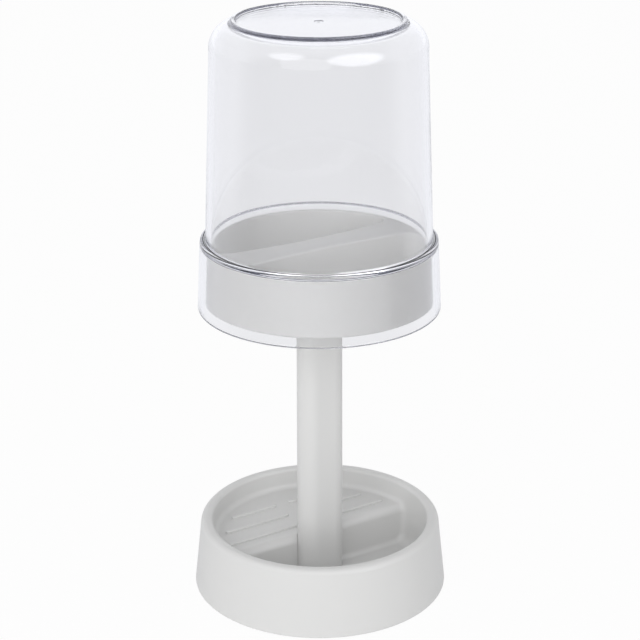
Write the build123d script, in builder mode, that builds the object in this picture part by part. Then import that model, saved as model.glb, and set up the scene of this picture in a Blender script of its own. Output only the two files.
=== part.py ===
# Toothbrush holder: a bowl-shaped base, an oval post, a collar with two openings and a clear lift-off cover.
# Millimetres. Z is up, X runs along the collar's divider, and the origin is on the counter under the post.
# Brushes stand on the -Y side, in the deep well, and a tube stands on the +Y side, on the ribbed shelf.
import os
from math import sqrt

from build123d import *

os.makedirs("parts", exist_ok=True)

# Whole object
plastic_wall = 2.0        # usual wall of the grey mouldings
cut_reach = 60.0          # longer than any part is wide, for tools that cut right across

# Base
base_foot_radius = 46.5
base_rim_outer = 43.7
base_rim_inner = 39.6
base_rim_height = 25.7
base_rim_outer_round = 2.2
base_rim_inner_round = 1.4
base_foot_round = 0.4
base_lift = 0.4           # the pads hold the base this far off the counter
well_floor = 3.0
well_radius = 38.5
well_corner_round = 4.0
wall_gap_top = 16.0       # the base's two walls part below this height
shelf_height = 18.0
shelf_front = 1.5         # the shelf's front wall stands at this Y
shelf_front_round = 3.0
shelf_side_round = 2.0

# Drainage ribs on the shelf
rib_width = 1.6
rib_height = 0.8
rib_round = 0.4
rib_rows = (9.0, 18.0, 27.0)
rib_gap = 5.4             # between the left and right ribs of a row
rib_end_radius = 35.0     # the ribs' outer ends lie on this circle

# Post
post_length = 17.9        # along X, at its foot
post_width = 10.9         # along Y, at its foot
post_taper = 0.16         # degrees
post_foot = 7.0
post_core_length = 11.4
post_core_width = 4.4
post_core_bottom = 24.0
spigot_length = 14.6
spigot_width = 7.6
spigot_height = 10.0
seat_clearance = 0.1

# Screws
screw_spacing = 8.0
screw_radius = 1.5
screw_length = 14.0
screw_tip = 0.8
screw_head_radius = 2.7
screw_head_height = 1.8
screw_head_round = 0.8
driver_slot_length = 3.2
driver_slot_width = 0.8
driver_slot_depth = 1.0
screw_pocket_length = 14.0
screw_pocket_width = 7.0
screw_hole_radius = 1.7
pilot_radius = 1.3

# Foot pads
pad_count = 4
pad_first_angle = 45.0
pad_radius = 3.4
pad_thickness = 1.4
pad_round = 0.3
pad_circle = 41.8
pad_seat_radius = 4.2
pad_recess_radius = 3.5

# Collar
collar_bottom = 111.45
collar_top = 131.6
collar_outer_top = 39.05
collar_lean = 0.0508      # how far the outer wall leans in for each millimetre of height
collar_rim_round = 0.5    # on the outer edges
collar_edge_round = 0.7   # on the openings' edges
opening_radius = 37.4
opening_taper = 0.5       # degrees
opening_corner = 5.0
divider_half_width = 5.3  # at the middle, and it widens towards the ring
divider_side_radius = 240.0
divider_top_wall = 2.2
divider_pocket_corner = 1.0
socket_play = 0.05
socket_depth = 10.4

# Cover
cover_wall = 1.8
cover_rest_gap = 0.05     # free height under the ledge
ledge_thickness = 2.15
ledge_round = 1.1
ledge_foot_round = 0.8
mouth_round = 0.3         # where the cover's inner wall meets the ledge's underside
skirt_bottom = 108.5
skirt_clearance = 0.8
skirt_wall = 1.95
skirt_round = 0.5
cover_wall_foot = 39.75
shoulder_radius = 37.1
shoulder_height = 201.0
shoulder_round = 8.5
foot_ring_inner = 27.8
foot_ring_outer = 29.9
foot_ring_top = 210.5
foot_ring_round = 0.8
gate_radius = 1.6
gate_depth = 0.3

# Heights and radii worked out from these
well_lean = (base_rim_inner - well_radius) / (base_rim_height - well_floor)
skirt_lean = (base_foot_radius - base_rim_outer) / base_rim_height
floor_under = well_floor - plastic_wall
shelf_under = shelf_height - plastic_wall
screw_seat = post_foot - plastic_wall
collar_height = collar_top - collar_bottom
ledge_bottom = collar_top + cover_rest_gap
ledge_top = ledge_bottom + ledge_thickness
cover_disc_top = shoulder_height + shoulder_round
shoulder_centre = shoulder_radius - shoulder_round


def base_outer_radius(height):
    """Radius of the base's outside at a height."""
    return base_foot_radius - skirt_lean * height


def well_wall_radius(height):
    """Radius of the bowl's inner wall at a height."""
    return well_radius + well_lean * (height - well_floor)


def collar_outer_radius(height):
    """Radius of the collar's outside at a height."""
    return collar_outer_top + collar_lean * (collar_top - height)


def skirt_inner_radius(height):
    """Radius of the cover's skirt, which clears the collar all the way down."""
    return collar_outer_radius(height) + skirt_clearance


# Room inside the bowl behind the shelf's front: its section along X, cut to the bowl's tapered wall
with BuildPart() as shelf_block:
    with BuildSketch(Plane.YZ):
        with BuildLine():
            deck = Polyline(
                (cut_reach, floor_under),
                (cut_reach, shelf_height),
                (shelf_front + shelf_front_round, shelf_height),
            )
            front_edge = (shelf_front, shelf_height - shelf_front_round)
            RadiusArc(deck @ 1, front_edge, -shelf_front_round)
            Polyline(front_edge, (shelf_front, floor_under), (cut_reach, floor_under))
        make_face()
    extrude(amount=cut_reach, both=True)
    with BuildSketch(Plane.XZ):
        with BuildLine():
            Polyline(
                (0, floor_under),
                (well_wall_radius(floor_under) + plastic_wall / 2, floor_under),
                (well_wall_radius(shelf_height) + plastic_wall / 2, shelf_height),
                (0, shelf_height),
                close=True,
            )
        make_face()
    revolve(axis=Axis.Z, mode=Mode.INTERSECT)

# The shelf is open from below, out to the base's outer skirt
with BuildPart() as shelf_hollow:
    with BuildSketch(Plane.YZ):
        with Locations((shelf_front + plastic_wall, 0)):
            Rectangle(cut_reach, shelf_under, align=Align.MIN)
        hollow_corner = vertices().sort_by_distance((shelf_front + plastic_wall, shelf_under))[0]
        fillet(hollow_corner, shelf_front_round - plastic_wall)
    extrude(amount=cut_reach, both=True)
    with BuildSketch(Plane.XZ):
        with BuildLine():
            Polyline(
                (0, 0),
                (base_outer_radius(0) - plastic_wall, 0),
                (base_outer_radius(shelf_under) - plastic_wall, shelf_under),
                (0, shelf_under),
                close=True,
            )
        make_face()
    revolve(axis=Axis.Z, mode=Mode.INTERSECT)

# Base: the bowl's wall and the outer skirt are two walls that join at the rounded rim
with BuildPart() as base:
    with BuildSketch(Plane.XZ):
        with BuildLine():
            Polyline(
                (0, well_floor),
                (well_radius, well_floor),
                (base_rim_inner, base_rim_height),
                (base_rim_outer, base_rim_height),
                (base_outer_radius(base_lift), base_lift),
                (base_outer_radius(base_lift) - plastic_wall, base_lift),
                (base_outer_radius(wall_gap_top) - plastic_wall, wall_gap_top),
                (well_wall_radius(wall_gap_top) + plastic_wall, wall_gap_top),
                (well_wall_radius(floor_under) + plastic_wall, floor_under),
                (0, floor_under),
                close=True,
            )
        make_face()
        fillet(vertices().sort_by_distance((base_rim_outer, base_rim_height))[0], base_rim_outer_round)
        fillet(vertices().sort_by_distance((base_rim_inner, base_rim_height))[0], base_rim_inner_round)
        fillet(vertices().sort_by_distance((well_radius, well_floor))[0], well_corner_round)
        fillet(vertices().sort_by_distance((base_foot_radius, base_lift))[0], base_foot_round)
    revolve(axis=Axis.Z)
    add(shelf_block.part)
    add(shelf_hollow.part, mode=Mode.SUBTRACT)

    # The shelf meets the bowl's wall in a soft corner
    shelf_sides = (
        edges()
        .filter_by(GeomType.CIRCLE)
        .filter_by_position(Axis.Z, shelf_height - 0.01, shelf_height + 0.01)
        .filter_by(lambda edge: edge.radius > rib_end_radius)
    )
    fillet(shelf_sides, shelf_side_round)

    # The post's seat: a pedestal of the post's own outline, and a wall round the post under the shelf
    with BuildSketch(Plane.XY.offset(floor_under)):
        SlotOverall(post_length, post_width)
    extrude(amount=post_foot - floor_under)
    with BuildSketch(Plane.XY.offset(floor_under)):
        seat_wall = seat_clearance + plastic_wall
        SlotOverall(post_length + 2 * seat_wall, post_width + 2 * seat_wall)
        with Locations((0, shelf_front + plastic_wall / 2)):
            Rectangle(cut_reach, cut_reach, align=(Align.CENTER, Align.MIN), mode=Mode.INTERSECT)
    extrude(amount=shelf_under + plastic_wall / 2 - floor_under)
    with BuildSketch(Plane.XY.offset(post_foot)):
        SlotOverall(post_length + 2 * seat_clearance, post_width + 2 * seat_clearance)
    extrude(amount=shelf_height, mode=Mode.SUBTRACT)
    with BuildSketch(Plane.XY):
        SlotOverall(screw_pocket_length, screw_pocket_width)
    extrude(amount=screw_seat, mode=Mode.SUBTRACT)
    with BuildSketch(Plane.XY):
        with GridLocations(screw_spacing, 0, 2, 1):
            Circle(screw_hole_radius)
    extrude(amount=post_foot, mode=Mode.SUBTRACT)

    # Low ribs with rounded tops along the shelf
    for row in rib_rows:
        rib_outer_end = sqrt(rib_end_radius**2 - row**2)
        rib_length = rib_outer_end - rib_gap / 2
        rib_middle = (rib_outer_end + rib_gap / 2) / 2
        with BuildSketch(Plane.XY.offset(shelf_height)):
            with Locations((-rib_middle, row), (rib_middle, row)):
                SlotOverall(rib_length, rib_width)
        extrude(amount=rib_height)
    rib_tops = edges().filter_by_position(
        Axis.Z, shelf_height + rib_height - 0.01, shelf_height + rib_height + 0.01
    )
    fillet(rib_tops, rib_round)

    # Seats for the foot pads bridge the gap between the two walls
    with BuildSketch(Plane.XY.offset(base_lift)):
        with PolarLocations(pad_circle, pad_count, pad_first_angle):
            Circle(pad_seat_radius)
    extrude(amount=well_floor - base_lift)
    with BuildSketch(Plane.XY):
        with PolarLocations(pad_circle, pad_count, pad_first_angle):
            Circle(pad_recess_radius)
    extrude(amount=pad_thickness, mode=Mode.SUBTRACT)
base.part.label = "base"
export_step(base.part, "parts/base.step")

# Post: oval, slightly slimmer at the top, hollow, with a solid foot for the screws and a spigot on top
with BuildPart() as post:
    with BuildSketch(Plane.XY.offset(post_foot)):
        SlotOverall(post_length, post_width)
    extrude(amount=collar_bottom - post_foot, taper=post_taper)
    with BuildSketch(Plane.XY.offset(collar_bottom)):
        SlotOverall(spigot_length, spigot_width)
    extrude(amount=spigot_height)
    chamfer(edges().group_by(Axis.Z)[-1], plastic_wall / 4)
    with BuildSketch(Plane.XY.offset(post_core_bottom)):
        SlotOverall(post_core_length, post_core_width)
    extrude(amount=collar_top, mode=Mode.SUBTRACT)
    with BuildSketch(Plane.XY.offset(post_foot)):
        with GridLocations(screw_spacing, 0, 2, 1):
            Circle(pilot_radius)
    extrude(amount=screw_length, mode=Mode.SUBTRACT)
post.part.label = "post"
export_step(post.part, "parts/post.step")

# Collar: a ring with a divider across it, which is hollow from below and takes the post's spigot
with BuildPart() as collar:
    with BuildSketch(Plane.XZ):
        with BuildLine():
            Polyline(
                (0, collar_bottom),
                (collar_outer_radius(collar_bottom), collar_bottom),
                (collar_outer_top, collar_top),
                (0, collar_top),
                close=True,
            )
        make_face()
    revolve(axis=Axis.Z)
    for side in (-1, 1):
        with BuildSketch(Plane.XY.offset(collar_top)):
            Circle(opening_radius)
            with Locations((0, side * (divider_half_width + divider_side_radius))):
                Circle(divider_side_radius, mode=Mode.INTERSECT)
            fillet(vertices(), opening_corner)
        extrude(amount=-collar_height, taper=-opening_taper, mode=Mode.SUBTRACT)
    for level in (-1, 0):
        fillet(edges().group_by(Axis.Z)[level].sort_by(SortBy.LENGTH)[-1], collar_rim_round)
        fillet(edges().group_by(Axis.Z)[level].sort_by(SortBy.LENGTH)[:-1], collar_edge_round)

    with BuildSketch(Plane.XY.offset(collar_bottom)):
        Circle(opening_radius)
        for side in (-1, 1):
            with Locations((0, side * (divider_half_width + divider_side_radius))):
                Circle(divider_side_radius + plastic_wall, mode=Mode.SUBTRACT)
        Rectangle(spigot_length + 2 * plastic_wall, opening_radius, mode=Mode.SUBTRACT)
        fillet(vertices(), divider_pocket_corner)
    extrude(amount=collar_height - divider_top_wall, mode=Mode.SUBTRACT)
    with BuildSketch(Plane.XY.offset(collar_bottom)):
        SlotOverall(spigot_length + 2 * socket_play, spigot_width + 2 * socket_play)
    extrude(amount=socket_depth, mode=Mode.SUBTRACT)
collar.part.label = "collar"
export_step(collar.part, "parts/collar.step")

# Cover: one clear moulding, with a ledge that rests on the collar and a skirt that hides it
with BuildPart() as cover:
    with BuildSketch(Plane.XZ):
        with BuildLine():
            bead_foot_height = shoulder_height + sqrt(
                shoulder_round**2 - (foot_ring_outer - shoulder_centre) ** 2
            )
            Polyline(
                (0, cover_disc_top - cover_wall),
                (0, cover_disc_top),
                (foot_ring_inner, cover_disc_top),
                (foot_ring_inner, foot_ring_top),
                (foot_ring_outer, foot_ring_top),
                (foot_ring_outer, bead_foot_height),
            )
            RadiusArc(
                (foot_ring_outer, bead_foot_height), (shoulder_radius, shoulder_height), shoulder_round
            )
            Polyline(
                (shoulder_radius, shoulder_height),
                (cover_wall_foot, ledge_top),
                (skirt_inner_radius(ledge_top) + skirt_wall, ledge_top),
                (skirt_inner_radius(skirt_bottom) + skirt_wall, skirt_bottom),
                (skirt_inner_radius(skirt_bottom), skirt_bottom),
                (skirt_inner_radius(ledge_bottom), ledge_bottom),
                (cover_wall_foot - cover_wall, ledge_bottom),
                (shoulder_radius - cover_wall, shoulder_height),
            )
            RadiusArc(
                (shoulder_radius - cover_wall, shoulder_height),
                (shoulder_centre, cover_disc_top - cover_wall),
                -(shoulder_round - cover_wall),
            )
            Line((shoulder_centre, cover_disc_top - cover_wall), (0, cover_disc_top - cover_wall))
        make_face()
        fillet(vertices().group_by(Axis.Y)[-1], foot_ring_round)
        fillet(vertices().group_by(Axis.Y)[0], skirt_round)
        ledge_edge = (skirt_inner_radius(ledge_top) + skirt_wall, ledge_top)
        fillet(vertices().sort_by_distance(ledge_edge)[0], ledge_round)
        fillet(vertices().sort_by_distance((cover_wall_foot, ledge_top))[0], ledge_foot_round)
        inner_corner = (skirt_inner_radius(ledge_bottom), ledge_bottom)
        fillet(vertices().sort_by_distance(inner_corner)[0], skirt_round)
        mouth_corner = (cover_wall_foot - cover_wall, ledge_bottom)
        fillet(vertices().sort_by_distance(mouth_corner)[0], mouth_round)
    revolve(axis=Axis.Z)

    # A shallow dimple where the plastic entered the mould
    with BuildSketch(Plane.XY.offset(cover_disc_top)):
        Circle(gate_radius)
    extrude(amount=-gate_depth, mode=Mode.SUBTRACT)
cover.part.label = "cover"
export_step(cover.part, "parts/cover.step")

# Screws: two self-tapping screws, driven up through the pedestal into the post's foot
with BuildPart() as base_screws:
    with GridLocations(screw_spacing, 0, 2, 1):
        with Locations((0, 0, screw_seat)):
            Cylinder(screw_radius, screw_length, align=(Align.CENTER, Align.CENTER, Align.MIN))
            Cylinder(screw_head_radius, screw_head_height, align=(Align.CENTER, Align.CENTER, Align.MAX))
    chamfer(edges().group_by(Axis.Z)[-1], screw_tip)
    fillet(edges().group_by(Axis.Z)[0], screw_head_round)
    with GridLocations(screw_spacing, 0, 2, 1):
        with Locations((0, 0, screw_seat - screw_head_height)):
            slot_seat = (Align.CENTER, Align.CENTER, Align.MIN)
            Box(driver_slot_length, driver_slot_width, driver_slot_depth, align=slot_seat, mode=Mode.SUBTRACT)
            Box(driver_slot_width, driver_slot_length, driver_slot_depth, align=slot_seat, mode=Mode.SUBTRACT)
base_screws.part.label = "base_screws"
export_step(base_screws.part, "parts/base_screws.step")

# Foot pads: four soft discs in recesses under the base
for number, place in enumerate(PolarLocations(pad_circle, pad_count, pad_first_angle), start=1):
    with BuildPart() as foot_pad:
        with BuildSketch(Plane(place.position)):
            Circle(pad_radius)
        extrude(amount=pad_thickness)
        fillet(edges().group_by(Axis.Z)[0], pad_round)
    foot_pad.part.label = f"foot_pad_{number}"
    export_step(foot_pad.part, f"parts/foot_pad_{number}.step")
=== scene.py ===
import math

import bpy
from mathutils import Matrix, Vector


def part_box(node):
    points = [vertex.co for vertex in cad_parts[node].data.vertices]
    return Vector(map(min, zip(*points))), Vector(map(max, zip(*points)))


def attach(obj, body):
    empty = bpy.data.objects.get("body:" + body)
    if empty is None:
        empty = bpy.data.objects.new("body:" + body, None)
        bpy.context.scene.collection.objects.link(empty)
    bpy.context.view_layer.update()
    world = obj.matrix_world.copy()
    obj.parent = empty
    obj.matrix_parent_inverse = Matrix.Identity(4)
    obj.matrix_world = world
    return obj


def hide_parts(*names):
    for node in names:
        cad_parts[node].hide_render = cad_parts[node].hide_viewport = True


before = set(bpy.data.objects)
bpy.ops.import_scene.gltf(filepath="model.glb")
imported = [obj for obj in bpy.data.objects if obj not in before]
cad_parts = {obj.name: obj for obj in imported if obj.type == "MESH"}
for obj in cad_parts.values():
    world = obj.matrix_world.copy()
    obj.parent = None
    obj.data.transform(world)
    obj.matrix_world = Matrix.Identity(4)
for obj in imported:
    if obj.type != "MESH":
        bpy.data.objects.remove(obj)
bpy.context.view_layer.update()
scene = bpy.context.scene
mm = 0.001

# The cover is one injection-moulded cup of clear, hard plastic, standing upside down. A ledge near its mouth
# rests on the collar, and the skirt below the ledge stands round the collar. It is turned from one outline.
cover_low, cover_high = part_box("cover")
skirt_bottom = cover_low.z
skirt_foot_radius = cover_high.x
foot_ring_top = cover_high.z
skirt_lean = 0.0508
skirt_wall = 1.95 * mm
cover_wall = 1.8 * mm
ledge_bottom = skirt_bottom + 23.15 * mm
ledge_top = ledge_bottom + 2.15 * mm
wall_foot_radius = 39.75 * mm
shoulder_radius = 37.1 * mm
shoulder_height = foot_ring_top - 9.5 * mm
shoulder_round = 8.5 * mm
disc_top = shoulder_height + shoulder_round
foot_ring_inner = 27.8 * mm
foot_ring_outer = 29.9 * mm
gate_radius = 1.6 * mm
gate_depth = 0.2 * mm
gate_pip_radius = 0.5 * mm
gate_round = 0.1 * mm
gate_pip_round = 0.05 * mm
foot_ring_round = 0.8 * mm
foot_ring_inner_round = 0.4 * mm
ledge_foot_round = 0.8 * mm
ledge_round = 1.1 * mm
skirt_round = 0.5 * mm
mouth_round = 0.3 * mm
steps_around = 256
weld_distance = 0.001 * mm


def rounded_outline(corners, steps=8):
    """Points of an outline whose corners, given as (radius, height, rounding), are turned into arcs."""
    points = []
    for i, (x, z, rounding) in enumerate(corners):
        here = Vector((x, z))
        if rounding == 0 or i in (0, len(corners) - 1):
            points.append(here)
            continue
        # A point a little outside each end of the arc keeps the flat stretches flat
        margin = rounding / 4
        to_last = (Vector(corners[i - 1][:2]) - here).normalized()
        to_next = (Vector(corners[i + 1][:2]) - here).normalized()
        half_angle = to_last.angle(to_next) / 2
        reach = rounding / math.tan(half_angle)
        centre = here + (to_last + to_next).normalized() * rounding / math.sin(half_angle)
        start, end = here + to_last * reach - centre, here + to_next * reach - centre
        sweep = start.angle_signed(end)
        points.append(here + to_last * (reach + margin))
        for step in range(steps + 1):
            points.append(centre + Matrix.Rotation(-sweep * step / steps, 2) @ start)
        points.append(here + to_next * (reach + margin))
    return points


def arc(centre, radius, start, end, steps=16):
    """Points on an arc in the XZ plane, between two angles in degrees from the X axis."""
    angles = [math.radians(start + (end - start) * i / steps) for i in range(steps + 1)]
    return [Vector((centre[0] + radius * math.cos(a), centre[1] + radius * math.sin(a))) for a in angles]


def outline_object(name, points):
    """A chain of edges in the XZ plane, ready to be turned about the Z axis."""
    mesh = bpy.data.meshes.new(name)
    edges = [(i, i + 1) for i in range(len(points) - 1)]
    mesh.from_pydata([(p.x, 0, p.y) for p in points], edges, [])
    piece = bpy.data.objects.new(name, mesh)
    scene.collection.objects.link(piece)
    return piece


def arithmetic(nodes, link):
    """Gives a function that adds one arithmetic node and returns what it puts out."""
    def combined(operation, first, second):
        node = nodes.new("ShaderNodeMath")
        node.operation = operation
        for socket, value in zip(node.inputs, (first, second)):
            if isinstance(value, (int, float)):
                socket.default_value = value
            else:
                link(value, socket)
        return node.outputs[0]

    return combined


def turning_tree():
    """Geometry nodes that turn an outline about the Z axis into a closed skin."""
    tree = bpy.data.node_groups.new("turned from an outline", "GeometryNodeTree")
    tree.interface.new_socket("Outline", in_out="INPUT", socket_type="NodeSocketGeometry")
    steps = tree.interface.new_socket("Steps around", in_out="INPUT", socket_type="NodeSocketInt")
    finish = tree.interface.new_socket("Material", in_out="INPUT", socket_type="NodeSocketMaterial")
    tree.interface.new_socket("Skin", in_out="OUTPUT", socket_type="NodeSocketGeometry")
    nodes, link = tree.nodes, tree.links.new
    given = nodes.new("NodeGroupInput")
    made = nodes.new("NodeGroupOutput")
    combined = arithmetic(nodes, link)
    count = nodes.new("GeometryNodeAttributeDomainSize")
    link(given.outputs["Outline"], count.inputs["Geometry"])
    points = count.outputs["Point Count"]
    grid = nodes.new("GeometryNodeMeshGrid")
    link(combined("ADD", given.outputs["Steps around"], 1), grid.inputs["Vertices X"])
    link(points, grid.inputs["Vertices Y"])
    index = nodes.new("GeometryNodeInputIndex").outputs[0]
    place = nodes.new("GeometryNodeInputPosition").outputs[0]
    corner = nodes.new("GeometryNodeSampleIndex")
    corner.data_type = "FLOAT_VECTOR"
    link(given.outputs["Outline"], corner.inputs["Geometry"])
    link(place, corner.inputs["Value"])
    link(combined("MODULO", index, points), corner.inputs["Index"])
    split = nodes.new("ShaderNodeSeparateXYZ")
    link(corner.outputs["Value"], split.inputs[0])
    column = combined("FLOOR", combined("DIVIDE", combined("ADD", index, 0.5), points), 0)
    share = combined("DIVIDE", column, given.outputs["Steps around"])
    angle = combined("MULTIPLY", share, 2 * math.pi)
    around = nodes.new("ShaderNodeCombineXYZ")
    link(combined("MULTIPLY", split.outputs["X"], combined("COSINE", angle, 0)), around.inputs["X"])
    link(combined("MULTIPLY", split.outputs["X"], combined("SINE", angle, 0)), around.inputs["Y"])
    link(split.outputs["Z"], around.inputs["Z"])
    move = nodes.new("GeometryNodeSetPosition")
    link(grid.outputs["Mesh"], move.inputs["Geometry"])
    link(around.outputs[0], move.inputs["Position"])
    weld = nodes.new("GeometryNodeMergeByDistance")
    weld.inputs["Distance"].default_value = weld_distance
    link(move.outputs["Geometry"], weld.inputs["Geometry"])
    outwards = nodes.new("GeometryNodeFlipFaces")
    link(weld.outputs["Geometry"], outwards.inputs["Mesh"])
    smooth = nodes.new("GeometryNodeSetShadeSmooth")
    link(outwards.outputs["Mesh"], smooth.inputs["Geometry"])
    real = nodes.new("GeometryNodeRealizeInstances")
    link(smooth.outputs["Geometry"], real.inputs["Geometry"])
    paint = nodes.new("GeometryNodeSetMaterial")
    link(real.outputs["Geometry"], paint.inputs["Geometry"])
    link(given.outputs["Material"], paint.inputs["Material"])
    link(paint.outputs["Geometry"], made.inputs["Skin"])
    return tree, steps.identifier, finish.identifier


turning, steps_socket, finish_socket = turning_tree()


def turned_piece(name, points, material):
    """A smooth piece as a plain mesh, turned from an outline that runs from its top down its outside."""
    piece = outline_object(name, points)
    modifier = piece.modifiers.new("Turned", "NODES")
    modifier.node_group = turning
    modifier[steps_socket] = steps_around
    modifier[finish_socket] = material
    bpy.context.view_layer.update()
    skin = bpy.data.meshes.new_from_object(piece.evaluated_get(bpy.context.evaluated_depsgraph_get()))
    piece.modifiers.clear()
    piece.data = skin
    return piece


def clear_plastic():
    """Clear polished plastic: faintly cool, with the slow waves of a moulded skin in its reflections."""
    material = bpy.data.materials.new("polished_clear")
    material.use_nodes = True
    nodes, link = material.node_tree.nodes, material.node_tree.links.new
    shader = nodes["Principled BSDF"]
    shader.inputs["Base Color"].default_value = (0.985, 0.985, 0.988, 1)
    shader.inputs["IOR"].default_value = 1.5
    shader.inputs["Transmission Weight"].default_value = 1.0
    place = nodes.new("ShaderNodeTexCoord")
    waves = nodes.new("ShaderNodeTexNoise")
    waves.inputs["Scale"].default_value = 45.0
    waves.inputs["Detail"].default_value = 1.0
    link(place.outputs["Object"], waves.inputs["Vector"])
    polish = nodes.new("ShaderNodeMapRange")
    polish.inputs["To Min"].default_value = 0.02
    polish.inputs["To Max"].default_value = 0.05
    link(waves.outputs["Fac"], polish.inputs["Value"])
    link(polish.outputs["Result"], shader.inputs["Roughness"])
    swell = nodes.new("ShaderNodeBump")
    swell.inputs["Strength"].default_value = 0.15
    swell.inputs["Distance"].default_value = 0.2 * mm
    link(waves.outputs["Fac"], swell.inputs["Height"])
    link(swell.outputs["Normal"], shader.inputs["Normal"])
    # The plastic's own cast, which only shows where the light runs far through it
    depth = nodes.new("ShaderNodeVolumeAbsorption")
    depth.inputs["Color"].default_value = (0.25, 0.26, 0.4, 1)
    depth.inputs["Density"].default_value = 16.0
    link(depth.outputs["Volume"], nodes["Material Output"].inputs["Volume"])
    # Lamps reach what stands inside the cover
    light_path = nodes.new("ShaderNodeLightPath")
    film = nodes.new("ShaderNodeBsdfTransparent")
    film.inputs["Color"].default_value = (0.985, 0.985, 0.985, 1)
    pass_lamps = nodes.new("ShaderNodeMixShader")
    link(light_path.outputs["Is Shadow Ray"], pass_lamps.inputs["Fac"])
    link(shader.outputs["BSDF"], pass_lamps.inputs[1])
    link(film.outputs["BSDF"], pass_lamps.inputs[2])
    link(pass_lamps.outputs["Shader"], nodes["Material Output"].inputs["Surface"])
    return material


def skirt_radius(height):
    """Radius of the skirt's outside, which widens a little towards the mouth."""
    return skirt_foot_radius - skirt_lean * (height - skirt_bottom)


wall_lean = math.degrees(math.atan2(wall_foot_radius - shoulder_radius, shoulder_height - ledge_top))
shoulder_centre = (shoulder_radius - shoulder_round, shoulder_height)
bead_angle = math.degrees(math.acos((foot_ring_outer - shoulder_centre[0]) / shoulder_round))
gate_floor = disc_top - gate_depth
gate_pip_top = gate_floor + gate_depth / 2
wall_top = shoulder_height - shoulder_round / 4
cover_outline = rounded_outline([
    (0, gate_pip_top, 0),
    (gate_pip_radius, gate_pip_top, gate_round),
    (gate_pip_radius, gate_floor, gate_pip_round),
    (gate_radius, gate_floor, gate_round),
    (gate_radius, disc_top, gate_round),
    (foot_ring_inner, disc_top, foot_ring_inner_round),
    (foot_ring_inner, foot_ring_top, foot_ring_round),
    (foot_ring_outer, foot_ring_top, foot_ring_round),
    (foot_ring_outer, disc_top, 0),
])
cover_outline += arc(shoulder_centre, shoulder_round, bead_angle, -wall_lean)
cover_outline += rounded_outline([
    (shoulder_radius, wall_top, 0),
    (wall_foot_radius, ledge_top, ledge_foot_round),
    (skirt_radius(ledge_top), ledge_top, ledge_round),
    (skirt_radius(skirt_bottom), skirt_bottom, skirt_round),
    (skirt_radius(skirt_bottom) - skirt_wall, skirt_bottom, skirt_round),
    (skirt_radius(ledge_bottom) - skirt_wall, ledge_bottom, skirt_round),
    (wall_foot_radius - cover_wall, ledge_bottom, mouth_round),
    (shoulder_radius - cover_wall, wall_top, 0),
])
cover_outline += arc(shoulder_centre, shoulder_round - cover_wall, -wall_lean, 90)
cover_outline.append(Vector((0, disc_top - cover_wall)))
clear_cover = turned_piece("clear_cover", cover_outline, clear_plastic())
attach(clear_cover, "cover")
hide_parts("cover")

# The collar is a light grey moulding with a satin skin: a ring, with a divider that leaves two D-shaped
# openings. It is fixed on top of the post, and the cover rests on it.


def moulded_skin():
    """A shader group for the skin that a satin mould leaves: its fine grain, and slow changes of gloss."""
    group = bpy.data.node_groups.new("moulded skin", "ShaderNodeTree")
    for name, value in (("Grain per metre", 4000.0), ("Gloss low", 0.4), ("Gloss high", 0.5), ("Grain", 0.1)):
        socket = group.interface.new_socket(name, in_out="INPUT", socket_type="NodeSocketFloat")
        socket.default_value = value
    tone = group.interface.new_socket("Tone", in_out="INPUT", socket_type="NodeSocketColor")
    tone.default_value = (0.7, 0.7, 0.7, 1)
    group.interface.new_socket("Color", in_out="OUTPUT", socket_type="NodeSocketColor")
    group.interface.new_socket("Roughness", in_out="OUTPUT", socket_type="NodeSocketFloat")
    group.interface.new_socket("Normal", in_out="OUTPUT", socket_type="NodeSocketVector")
    nodes, link = group.nodes, group.links.new
    given = nodes.new("NodeGroupInput")
    made = nodes.new("NodeGroupOutput")
    place = nodes.new("ShaderNodeTexCoord").outputs["Object"]
    grain = nodes.new("ShaderNodeTexNoise")
    grain.inputs["Detail"].default_value = 3.0
    link(place, grain.inputs["Vector"])
    link(given.outputs["Grain per metre"], grain.inputs["Scale"])
    cloud = nodes.new("ShaderNodeTexNoise")
    cloud.inputs["Scale"].default_value = 60.0
    cloud.inputs["Detail"].default_value = 2.0
    link(place, cloud.inputs["Vector"])
    gloss = nodes.new("ShaderNodeMapRange")
    link(cloud.outputs["Fac"], gloss.inputs["Value"])
    link(given.outputs["Gloss low"], gloss.inputs["To Min"])
    link(given.outputs["Gloss high"], gloss.inputs["To Max"])
    link(gloss.outputs["Result"], made.inputs["Roughness"])
    shade = nodes.new("ShaderNodeMapRange")
    shade.inputs["To Min"].default_value = 0.985
    shade.inputs["To Max"].default_value = 1.015
    link(cloud.outputs["Fac"], shade.inputs["Value"])
    tint = nodes.new("ShaderNodeVectorMath")
    tint.operation = "SCALE"
    link(given.outputs["Tone"], tint.inputs[0])
    link(shade.outputs["Result"], tint.inputs["Scale"])
    link(tint.outputs["Vector"], made.inputs["Color"])
    bump = nodes.new("ShaderNodeBump")
    bump.inputs["Distance"].default_value = 0.02 * mm
    link(given.outputs["Grain"], bump.inputs["Strength"])
    link(grain.outputs["Fac"], bump.inputs["Height"])
    link(bump.outputs["Normal"], made.inputs["Normal"])
    return group


skin_group = moulded_skin()


def skinned_material(name, tone, gloss, grain, metal=0.0):
    """A plain material with its own tone, range of roughness and depth of grain."""
    material = bpy.data.materials.new(name)
    material.use_nodes = True
    nodes, link = material.node_tree.nodes, material.node_tree.links.new
    shader = nodes["Principled BSDF"]
    skin = nodes.new("ShaderNodeGroup")
    skin.node_tree = skin_group
    skin.inputs["Tone"].default_value = (*tone, 1)
    skin.inputs["Gloss low"].default_value, skin.inputs["Gloss high"].default_value = gloss
    skin.inputs["Grain"].default_value = grain
    shader.inputs["Metallic"].default_value = metal
    link(skin.outputs["Color"], shader.inputs["Base Color"])
    link(skin.outputs["Roughness"], shader.inputs["Roughness"])
    link(skin.outputs["Normal"], shader.inputs["Normal"])
    return material


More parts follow.
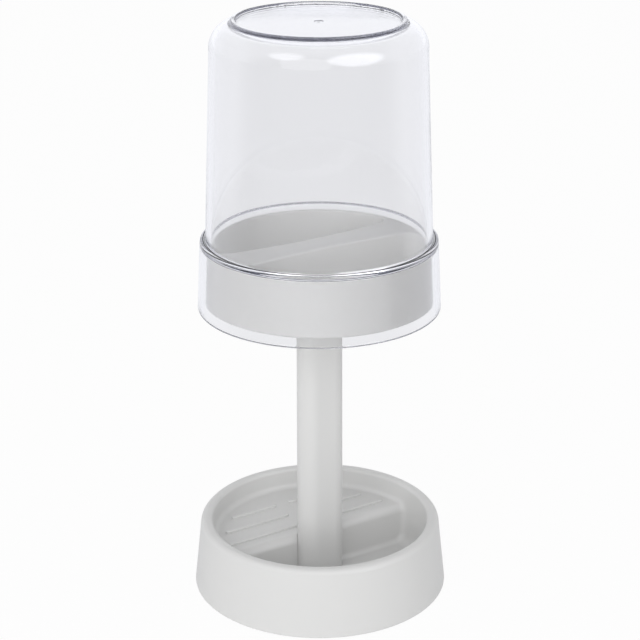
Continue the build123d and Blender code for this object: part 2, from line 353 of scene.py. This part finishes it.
def dress(node, material):
    """Gives a node of the frame its finish."""
    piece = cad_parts[node]
    piece.data.materials.clear()
    piece.data.materials.append(material)


satin_grey = skinned_material("satin_grey", (0.71, 0.71, 0.705), (0.42, 0.5), 0.15)
dress("collar", satin_grey)

# The post is an oval moulding in the same grey plastic. Its top is plugged into a socket in the collar's
# divider, and its foot stands on a seat in the base, where two screws hold it.
dress("post", satin_grey)

# The base is a bowl with a rounded rim, moulded in the same grey plastic. One half of it is a deep well, and
# the other a raised shelf with low ribs, which keep what stands on it out of the water.
dress("base", satin_grey)

# Two self-tapping screws hold the base to the post. They are zinc-plated steel, and are driven from below,
# in a pocket in the underside.
zinc_plate = skinned_material("zinc_plate", (0.62, 0.62, 0.6), (0.25, 0.4), 0.3, metal=1.0)
dress("base_screws", zinc_plate)

# Four soft grey rubber pads keep the holder from slipping. Each is stuck into a shallow recess under the
# base, between its two walls.
pad_count = 4
soft_rubber = skinned_material("soft_rubber", (0.55, 0.55, 0.55), (0.75, 0.9), 0.6)
for number in range(1, pad_count + 1):
    dress(f"foot_pad_{number}", soft_rubber)

# The photograph's viewpoint: the camera stands on the deep well's side, turned from square to the divider,
# and looks down. It was fitted to the round outlines of the base, the skirt and the top.
turned_by = math.radians(32.5)
looks_down = math.radians(21.11)
camera_roll = math.radians(-0.13)
camera_distance = 607.7 * mm
camera_height = 337.1 * mm
camera_aside = 0.2 * mm
focal_length = 103.2
sensor_width = 36
near_clip = 10 * mm
forward = Vector((math.sin(turned_by), math.cos(turned_by), 0))
rightward = Vector((math.cos(turned_by), -math.sin(turned_by), 0))
sight = forward * math.cos(looks_down) - Vector((0, 0, math.sin(looks_down)))
upward = rightward.cross(sight)
camera_data = bpy.data.cameras.new("camera")
camera_data.lens = focal_length
camera_data.sensor_width = sensor_width
camera_data.clip_start = near_clip
camera = bpy.data.objects.new("camera", camera_data)
axes = Matrix((rightward, upward, -sight)).transposed()
camera.matrix_world = Matrix.Translation(
    rightward * camera_aside - forward * camera_distance + Vector((0, 0, camera_height))
) @ (axes @ Matrix.Rotation(camera_roll, 3, "Z")).to_4x4()
scene.collection.objects.link(camera)
scene.camera = camera

# A white studio: a plain white floor that keeps the holder's shadow, white surroundings that light it at a
# plain level, and one wide soft lamp in front. Clear plastic and glosses show a faintly cool white.
low_light = 1.0
overhead_light = 0.42
through_level = 0.93
through_cast = (0.975, 0.98, 1.0, 1)
mirrored_cast = (0.95, 0.96, 1.0, 1)
floor_reach = 4.0
floor_white = (0.9, 0.9, 0.9, 1)
floor_seen = 0.95
# In a gloss, the floor brightens to white between these places before and behind the holder
floor_mirrored = 0.5
floor_near = -0.2
floor_far = 0.1
# What a gloss shows of the surroundings: angle aside, angle up, half width in degrees, and strength
right_softbox = (-44, 30, 33, 2.8)
left_softbox = (44, 47, 19, 2.0)
backdrop = (180, 20, 135, 0.75)
between_softboxes = 0.35
softbox_core = 0.6


def ways_to_the_eye(nodes, link, combined):
    """Masks for rays that reach the eye straight, through clear plastic or off a gloss, and their cast."""
    ray = nodes.new("ShaderNodeLightPath")
    direct = combined("LESS_THAN", ray.outputs["Diffuse Depth"], 0.5)
    mirrored = combined("MULTIPLY", combined("GREATER_THAN", ray.outputs["Glossy Depth"], 0.5), direct)
    crossed = combined("MULTIPLY", ray.outputs["Is Transmission Ray"], direct)
    through = combined("MAXIMUM", combined("SUBTRACT", crossed, mirrored), 0.0)
    cast = None
    for way, tint in ((through, through_cast), (mirrored, mirrored_cast)):
        mix = nodes.new("ShaderNodeMix")
        mix.data_type = "RGBA"
        link(way, mix.inputs["Factor"])
        mix.inputs["A"].default_value = (1, 1, 1, 1)
        if cast:
            link(cast, mix.inputs["A"])
        mix.inputs["B"].default_value = tint
        cast = mix.outputs["Result"]
    return ray.outputs["Is Camera Ray"], through, mirrored, cast


def studio_floor():
    """A wide white floor. What the eye sees of it is mostly its own light, so that it stays near white."""
    mesh = bpy.data.meshes.new("studio_floor")
    corners = [(floor_reach * x, floor_reach * y, 0) for x, y in ((-1, -1), (1, -1), (1, 1), (-1, 1))]
    mesh.from_pydata(corners, [], [(0, 1, 2, 3)])
    floor = bpy.data.objects.new("studio_floor", mesh)
    scene.collection.objects.link(floor)
    material = bpy.data.materials.new("studio_white")
    material.use_nodes = True
    nodes, link = material.node_tree.nodes, material.node_tree.links.new
    nodes.remove(nodes["Principled BSDF"])
    matt = nodes.new("ShaderNodeBsdfDiffuse")
    matt.inputs["Color"].default_value = floor_white
    glow = nodes.new("ShaderNodeEmission")
    combined = arithmetic(nodes, link)
    seen, through, mirrored, cast = ways_to_the_eye(nodes, link, combined)
    how_far_back = nodes.new("ShaderNodeVectorMath")
    how_far_back.operation = "DOT_PRODUCT"
    link(nodes.new("ShaderNodeTexCoord").outputs["Object"], how_far_back.inputs[0])
    how_far_back.inputs[1].default_value = forward
    sweep = nodes.new("ShaderNodeMapRange")
    sweep.inputs["From Min"].default_value = floor_near
    sweep.inputs["From Max"].default_value = floor_far
    sweep.inputs["To Min"].default_value = floor_mirrored
    link(how_far_back.outputs["Value"], sweep.inputs["Value"])
    level = combined("ADD", seen, combined("MULTIPLY", through, through_level))
    level = combined("ADD", level, combined("MULTIPLY", mirrored, sweep.outputs["Result"]))
    link(level, glow.inputs["Strength"])
    link(cast, glow.inputs["Color"])
    mixed = nodes.new("ShaderNodeMixShader")
    to_the_eye = combined("ADD", combined("ADD", seen, through), mirrored)
    link(combined("MULTIPLY", to_the_eye, floor_seen), mixed.inputs["Fac"])
    link(matt.outputs["BSDF"], mixed.inputs[1])
    link(glow.outputs["Emission"], mixed.inputs[2])
    link(mixed.outputs["Shader"], nodes["Material Output"].inputs["Surface"])
    mesh.materials.append(material)


def towards(aside, height):
    """The direction to something in the studio, in degrees: aside to the camera's left, and up."""
    turn = turned_by + math.radians(aside)
    rise = math.radians(height)
    return Vector((-math.sin(turn) * math.cos(rise), -math.cos(turn) * math.cos(rise), math.sin(rise)))


def studio_surroundings():
    """A world that is white to the eye, shows softboxes in a gloss, and lights least from overhead."""
    world = bpy.data.worlds.new("studio")
    scene.world = world
    world.use_nodes = True
    nodes, link = world.node_tree.nodes, world.node_tree.links.new
    background = nodes["Background"]
    combined = arithmetic(nodes, link)
    direction = nodes.new("ShaderNodeTexCoord").outputs["Generated"]

    def softbox(aside, height, wide, strength):
        """A soft round brightness in one direction, as a large softbox makes it in a reflection."""
        facing = nodes.new("ShaderNodeVectorMath")
        facing.operation = "DOT_PRODUCT"
        link(direction, facing.inputs[0])
        facing.inputs[1].default_value = towards(aside, height)
        patch = nodes.new("ShaderNodeMapRange")
        patch.interpolation_type = "SMOOTHSTEP"
        patch.inputs["From Min"].default_value = math.cos(math.radians(wide))
        patch.inputs["From Max"].default_value = math.cos(math.radians(wide * softbox_core))
        patch.inputs["To Max"].default_value = strength
        link(facing.outputs["Value"], patch.inputs["Value"])
        return patch.outputs["Result"]

    split = nodes.new("ShaderNodeSeparateXYZ")
    link(direction, split.inputs[0])
    dimming = nodes.new("ShaderNodeMapRange")
    dimming.inputs["To Min"].default_value = low_light
    dimming.inputs["To Max"].default_value = overhead_light
    link(split.outputs["Z"], dimming.inputs["Value"])
    seen, through, mirrored, cast = ways_to_the_eye(nodes, link, combined)
    boxes = combined("ADD", softbox(*right_softbox), softbox(*left_softbox))
    in_a_gloss = combined("ADD", combined("ADD", boxes, softbox(*backdrop)), between_softboxes)
    change = combined("SUBTRACT", in_a_gloss, dimming.outputs["Result"])
    level = combined("ADD", dimming.outputs["Result"], combined("MULTIPLY", change, mirrored))
    white = combined("MAXIMUM", seen, combined("MULTIPLY", through, through_level))
    level = combined("MAXIMUM", white, level)
    link(cast, background.inputs["Color"])
    link(level, background.inputs["Strength"])


def soft_lamp(name, aside, height, distance, width, tall, power):
    """A lamp that faces the holder's middle. Satin skins don't mirror it: they show the surroundings."""
    data = bpy.data.lights.new(name, "AREA")
    data.shape = "RECTANGLE"
    data.size, data.size_y = width, tall
    data.energy = power
    lamp = bpy.data.objects.new(name, data)
    scene.collection.objects.link(lamp)
    away = towards(aside, height)
    middle = Vector((0, 0, foot_ring_top / 2))
    lamp.location = middle + away * distance
    lamp.rotation_mode = "QUATERNION"
    lamp.rotation_quaternion = (-away).to_track_quat("-Z", "Y")
    lamp.visible_glossy = False


studio_floor()
studio_surroundings()
soft_lamp("front_lamp", aside=14, height=22, distance=1.3, width=1.3, tall=1.3, power=8.0)
scene.view_settings.view_transform = "Standard"
# Light that runs along inside the cover's wall is followed until it gets out
scene.cycles.max_bounces = 24
scene.cycles.glossy_bounces = 24
